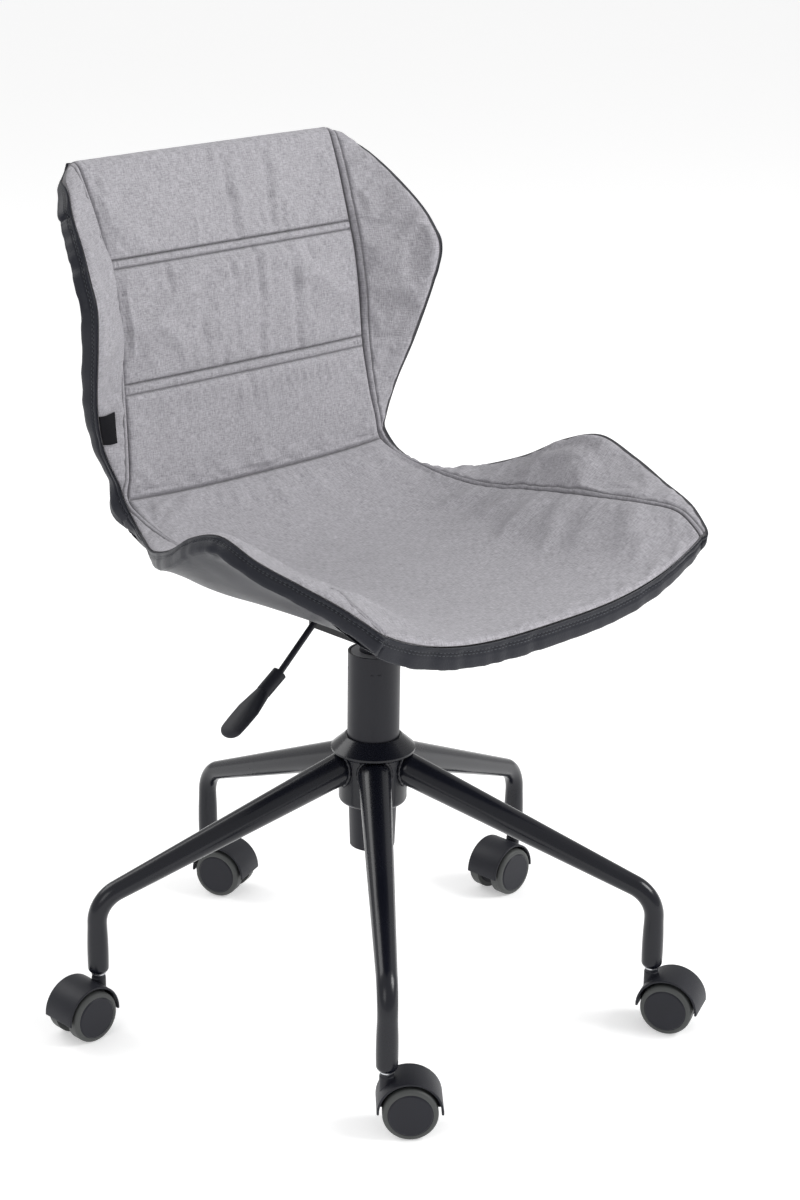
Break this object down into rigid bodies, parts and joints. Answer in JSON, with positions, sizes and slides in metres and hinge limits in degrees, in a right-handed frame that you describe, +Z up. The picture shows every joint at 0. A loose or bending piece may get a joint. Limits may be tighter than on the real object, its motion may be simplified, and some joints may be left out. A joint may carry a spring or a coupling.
{
  "type": "swivel desk chair",
  "caption": "Armless swivel desk chair: a winged one-piece upholstered seat and back on a gas lift, a star base of bent tubes and twin-wheel castors.",
  "frame": {"origin": "on the floor, on the swivel axis", "axes": "+Z up along the swivel axis; -Y is the way a sitter faces; +X is the right-hand side in a front view"},
  "size_m": [0.5861, 0.5821, 0.803],
  "materials": {
    "base_gloss_black": "gloss black powder coat",
    "column_satin_black": "satin black enamel",
    "bracket_black": "semi-matte black enamel",
    "lever_black": "satin black enamel",
    "bush_grey_plastic": "moulded, satin",
    "zinc_plated_steel": "bright zinc plate",
    "polished_rod": "ground and polished",
    "black_plastic": "moulded, fine satin texture",
    "wheel_plastic": "moulded, satin",
    "tyre_grey": "soft polyurethane, matte",
    "plywood": "pressed birch plywood, unfinished",
    "seat_fabric": "woven heather grey, matt",
    "rear_leather": "coated cloth with a fine leather grain, soft sheen",
    "label_weave": "woven label, blank"
  },
  "bodies": {
    "base": {"hub": "base_gloss_black", "hub_collar": "base_gloss_black", "leg_1": "base_gloss_black", "leg_2": "base_gloss_black", "leg_3": "base_gloss_black", "leg_4": "base_gloss_black", "leg_5": "base_gloss_black", "caster_sockets": "black_plastic", "caster_stems": "zinc_plated_steel", "caster_grip_rings": "zinc_plated_steel", "stand_tube": "column_satin_black", "guide_bush": "bush_grey_plastic", "thrust_bearing": "zinc_plated_steel", "base_clip": "zinc_plated_steel"},
    "spindle": {"piston_rod": "polished_rod", "piston": "zinc_plated_steel"},
    "seat": {"gas_cylinder": "column_satin_black", "mounting_plate": "bracket_black", "taper_socket": "bracket_black", "pivot_bracket": "bracket_black", "plate_screws": "zinc_plated_steel", "insert_nuts": "zinc_plated_steel", "seat_shell": "plywood", "seat_pad": "seat_fabric", "rear_cover": "rear_leather", "label_tag": "label_weave"},
    "lever": {"lever_rod": "lever_black", "lever_grip": "black_plastic"},
    "button": {"release_button": "zinc_plated_steel"},
    "caster_1": {"hood_1": "black_plastic", "axle_1": "zinc_plated_steel"},
    "roller_1_left": {"wheel_1_left": "wheel_plastic", "tyre_1_left": "tyre_grey"},
    "roller_1_right": {"wheel_1_right": "wheel_plastic", "tyre_1_right": "tyre_grey"},
    "caster_2": {"hood_2": "black_plastic", "axle_2": "zinc_plated_steel"},
    "roller_2_left": {"wheel_2_left": "wheel_plastic", "tyre_2_left": "tyre_grey"},
    "roller_2_right": {"wheel_2_right": "wheel_plastic", "tyre_2_right": "tyre_grey"},
    "caster_3": {"hood_3": "black_plastic", "axle_3": "zinc_plated_steel"},
    "roller_3_left": {"wheel_3_left": "wheel_plastic", "tyre_3_left": "tyre_grey"},
    "roller_3_right": {"wheel_3_right": "wheel_plastic", "tyre_3_right": "tyre_grey"},
    "caster_4": {"hood_4": "black_plastic", "axle_4": "zinc_plated_steel"},
    "roller_4_left": {"wheel_4_left": "wheel_plastic", "tyre_4_left": "tyre_grey"},
    "roller_4_right": {"wheel_4_right": "wheel_plastic", "tyre_4_right": "tyre_grey"},
    "caster_5": {"hood_5": "black_plastic", "axle_5": "zinc_plated_steel"},
    "roller_5_left": {"wheel_5_left": "wheel_plastic", "tyre_5_left": "tyre_grey"},
    "roller_5_right": {"wheel_5_right": "wheel_plastic", "tyre_5_right": "tyre_grey"}
  },
  "joints": [
    {"name": "seat_swivel", "type": "hinge", "parent": "base", "child": "spindle", "pos_m": [0, 0, 0.1711], "axis": [0, 0, 1], "continuous": true},
    {"name": "seat_height", "type": "slide", "parent": "spindle", "child": "seat", "axis": [0, 0, 1], "range_m": [0, 0.12]},
    {"name": "lift_lever", "type": "hinge", "parent": "seat", "child": "lever", "pos_m": [-0.038, 0, 0.40038], "axis": [0, 1, 0], "range_deg": [0, 6], "stiffness_Nm_per_rad": 4, "springref_deg": -6.88},
    {"name": "release_button", "type": "slide", "parent": "seat", "child": "button", "axis": [0, 0, 1], "range_m": [-0.004, 0], "stiffness_N_per_m": 400, "springref_m": 0.002},
    {"name": "caster_1_swivel", "type": "hinge", "parent": "base", "child": "caster_1", "pos_m": [-0.18063, -0.21, 0.05], "axis": [0, 0, 1], "continuous": true},
    {"name": "wheel_1_left_spin", "type": "hinge", "parent": "caster_1", "child": "roller_1_left", "pos_m": [-0.1654, -0.22372, 0.025], "axis": [0.6691, 0.7431, 0], "continuous": true},
    {"name": "wheel_1_right_spin", "type": "hinge", "parent": "caster_1", "child": "roller_1_right", "pos_m": [-0.1654, -0.22372, 0.025], "axis": [0.6691, 0.7431, 0], "continuous": true},
    {"name": "caster_2_swivel", "type": "hinge", "parent": "base", "child": "caster_2", "pos_m": [0.14391, -0.23669, 0.05], "axis": [0, 0, 1], "continuous": true},
    {"name": "wheel_2_left_spin", "type": "hinge", "parent": "caster_2", "child": "roller_2_left", "pos_m": [0.15257, -0.25526, 0.025], "axis": [0.9063, 0.4226, 0], "continuous": true},
    {"name": "wheel_2_right_spin", "type": "hinge", "parent": "caster_2", "child": "roller_2_right", "pos_m": [0.15257, -0.25526, 0.025], "axis": [0.9063, 0.4226, 0], "continuous": true},
    {"name": "caster_3_swivel", "type": "hinge", "parent": "base", "child": "caster_3", "pos_m": [0.26957, 0.06372, 0.05], "axis": [0, 0, 1], "continuous": true},
    {"name": "wheel_3_left_spin", "type": "hinge", "parent": "caster_3", "child": "roller_3_left", "pos_m": [0.2491, 0.06265, 0.025], "axis": [0.0523, -0.9986, 0], "continuous": true},
    {"name": "wheel_3_right_spin", "type": "hinge", "parent": "caster_3", "child": "roller_3_right", "pos_m": [0.2491, 0.06265, 0.025], "axis": [0.0523, -0.9986, 0], "continuous": true},
    {"name": "caster_4_swivel", "type": "hinge", "parent": "base", "child": "caster_4", "pos_m": [0.0227, 0.27607, 0.05], "axis": [0, 0, 1], "continuous": true},
    {"name": "wheel_4_left_spin", "type": "hinge", "parent": "caster_4", "child": "roller_4_left", "pos_m": [0.03038, 0.25706, 0.025], "axis": [0.9272, 0.3746, 0], "continuous": true},
    {"name": "wheel_4_right_spin", "type": "hinge", "parent": "caster_4", "child": "roller_4_right", "pos_m": [0.03038, 0.25706, 0.025], "axis": [0.9272, 0.3746, 0], "continuous": true},
    {"name": "caster_5_swivel", "type": "hinge", "parent": "base", "child": "caster_5", "pos_m": [-0.25554, 0.1069, 0.05], "axis": [0, 0, 1], "continuous": true},
    {"name": "wheel_5_left_spin", "type": "hinge", "parent": "caster_5", "child": "roller_5_left", "pos_m": [-0.27604, 0.10654, 0.025], "axis": [0.0175, -0.9998, 0], "continuous": true},
    {"name": "wheel_5_right_spin", "type": "hinge", "parent": "caster_5", "child": "roller_5_right", "pos_m": [-0.27604, 0.10654, 0.025], "axis": [0.0175, -0.9998, 0], "continuous": true}
  ],
  "couplings": [
    {"joint": "release_button", "follows": "lift_lever", "m_per_rad": -0.038}
  ]
}
